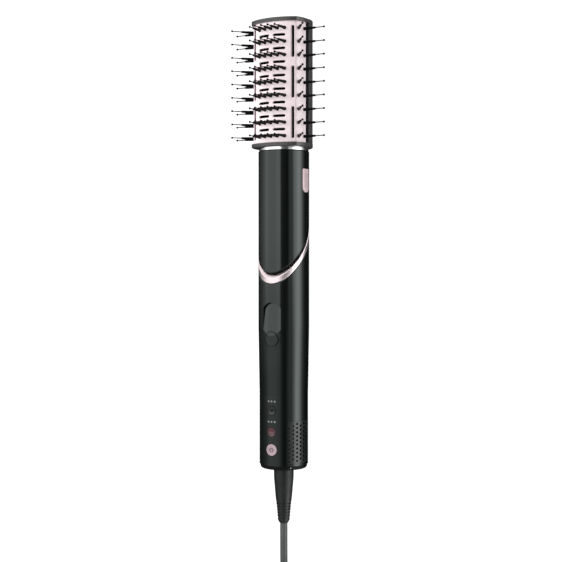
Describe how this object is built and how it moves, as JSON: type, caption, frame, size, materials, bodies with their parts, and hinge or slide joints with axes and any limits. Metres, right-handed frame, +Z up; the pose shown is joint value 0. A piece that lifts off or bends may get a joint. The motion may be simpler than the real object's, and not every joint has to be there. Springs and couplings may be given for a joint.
{
  "type": "hot air brush",
  "caption": "Mains hot air brush lying on its back: round handle with push buttons and air intake, barrel, vented half-round head with rows of bristles, swivel cord with plug.",
  "frame": {"origin": "on the resting surface, under the middle of the brush's box without its cord", "axes": "+Y along the brush towards the head's end, +Z up from the resting surface, the way the buttons and the middle bristles point, +X to the badge's side"},
  "size_m": [0.076, 0.7075, 0.0531],
  "materials": {
    "gloss_black": "polished black plastic",
    "satin_black": "satin black plastic",
    "matte_black": "matte black plastic",
    "inner_nylon": "glass-filled nylon, as moulded",
    "steel_mesh": "woven steel mesh",
    "steel": "turned steel",
    "circuit_board": "green solder mask",
    "circuit_parts": "black switch bodies",
    "clear_lens": "clear diffusing lens",
    "rose_button": "pearl rose",
    "dark_rose_button": "dark rose, gloss",
    "soft_rubber": "soft rubber",
    "copper_winding": "enamelled copper wire",
    "magnet": "plated magnet",
    "rose_metal": "polished rose plating",
    "rose_plate": "satin rose",
    "mica": "mica board",
    "heater_wire": "resistance wire",
    "bright_metal": "polished plating",
    "grey_plastic": "dark grey satin plastic",
    "pink_coat": "light pink ceramic coat",
    "pink_plastic": "light pink gloss plastic",
    "bristle_nylon": "black nylon",
    "boot_rubber": "black rubber",
    "cord_jacket": "grey-black cord jacket",
    "tie_strap": "black strap",
    "plug_plastic": "moulded black plastic",
    "brass": "plated brass"
  },
  "bodies": {
    "brush": {"handle_housing": "gloss_black", "barrel_tube": "gloss_black", "intake_grille": "satin_black", "filter_mesh": "steel_mesh", "bottom_cap": "matte_black", "cap_screws": "steel", "chassis": "inner_nylon", "control_board": "circuit_board", "tact_switches": "circuit_parts", "power_board": "circuit_board", "led_lenses": "clear_lens", "fan_housing": "inner_nylon", "motor_mount": "soft_rubber", "motor_can": "steel", "motor_bearings": "steel", "motor_stator": "copper_winding", "trim_ring": "rose_metal", "coupling_sleeve": "matte_black", "badge": "rose_plate", "heater_sleeve": "mica", "heater_frame": "mica", "heater_coil": "heater_wire", "thermostat": "steel", "thermal_fuse": "steel", "neck_ring": "bright_metal", "head_base_cap": "grey_plastic", "head_top_cap": "grey_plastic", "front_plate": "pink_coat", "side_panel_left": "pink_plastic", "side_panel_right": "pink_plastic", "back_shell": "grey_plastic", "head_liner": "inner_nylon", "cord_clamp": "inner_nylon", "cord_inner": "cord_jacket", "power_cord": "cord_jacket", "cord_tail": "cord_jacket", "cord_hank": "cord_jacket", "hank_tie": "tie_strap", "plug_body": "plug_plastic", "plug_blades": "brass", "bristle_row_1": "bristle_nylon", "bristle_row_2": "bristle_nylon", "bristle_row_3": "bristle_nylon", "bristle_row_4": "bristle_nylon", "bristle_row_5": "bristle_nylon", "bristle_row_6": "bristle_nylon", "bristle_row_7": "bristle_nylon", "bristle_row_8": "bristle_nylon", "bristle_row_9": "bristle_nylon"},
    "power_button": {"power_button": "rose_button"},
    "heat_button": {"heat_button": "dark_rose_button"},
    "airflow_button": {"airflow_button": "gloss_black"},
    "thumb_button": {"thumb_button": "gloss_black"},
    "fan_rotor": {"motor_shaft": "steel", "rotor_magnet": "magnet", "impeller": "inner_nylon"},
    "cord_swivel": {"swivel_collar": "boot_rubber", "cord_boot": "boot_rubber"}
  },
  "joints": [
    {"name": "power_press", "type": "slide", "parent": "brush", "child": "power_button", "axis": [0, 0, -1], "range_m": [0, 0.0008], "stiffness_N_per_m": 900},
    {"name": "heat_press", "type": "slide", "parent": "brush", "child": "heat_button", "axis": [0, 0, -1], "range_m": [0, 0.0008], "stiffness_N_per_m": 900},
    {"name": "airflow_press", "type": "slide", "parent": "brush", "child": "airflow_button", "axis": [0, 0, -1], "range_m": [0, 0.0008], "stiffness_N_per_m": 900},
    {"name": "thumb_press", "type": "slide", "parent": "brush", "child": "thumb_button", "axis": [0, 0, -1], "range_m": [0, 0.001], "stiffness_N_per_m": 900},
    {"name": "fan_spin", "type": "hinge", "parent": "brush", "child": "fan_rotor", "pos_m": [0, -0.0095, 0.019], "axis": [0, 1, 0], "continuous": true},
    {"name": "cord_swivel_turn", "type": "hinge", "parent": "brush", "child": "cord_swivel", "pos_m": [0, -0.1455, 0.019], "axis": [0, 1, 0], "continuous": true}
  ]
}
